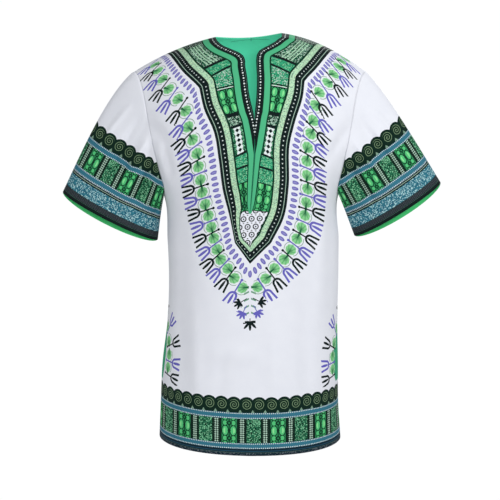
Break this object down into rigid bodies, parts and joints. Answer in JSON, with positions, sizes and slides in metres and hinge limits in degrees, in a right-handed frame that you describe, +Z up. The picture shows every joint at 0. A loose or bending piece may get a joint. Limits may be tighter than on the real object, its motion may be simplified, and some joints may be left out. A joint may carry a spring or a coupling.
{
  "type": "dashiki shirt",
  "caption": "Loose pullover shirt with short wide drop-shoulder sleeves, a round neck with a front slit, and printed borders, hollow as worn.",
  "frame": {"origin": "mount shoulders: midway between the high points of the shoulders at the sides of the neck, where the wearer carries the shirt", "axes": "+Z up, the front faces -Y, +X to the right as seen from the front"},
  "size_m": [0.7222, 0.2628, 0.7844],
  "materials": {
    "body_cloth": "matt printed cotton",
    "sleeve_cloth": "matt printed cotton"
  },
  "bodies": {
    "root": {"front_panel": "body_cloth", "back_panel": "body_cloth", "sleeve_left": "sleeve_cloth", "sleeve_right": "sleeve_cloth"}
  },
  "joints": []
}
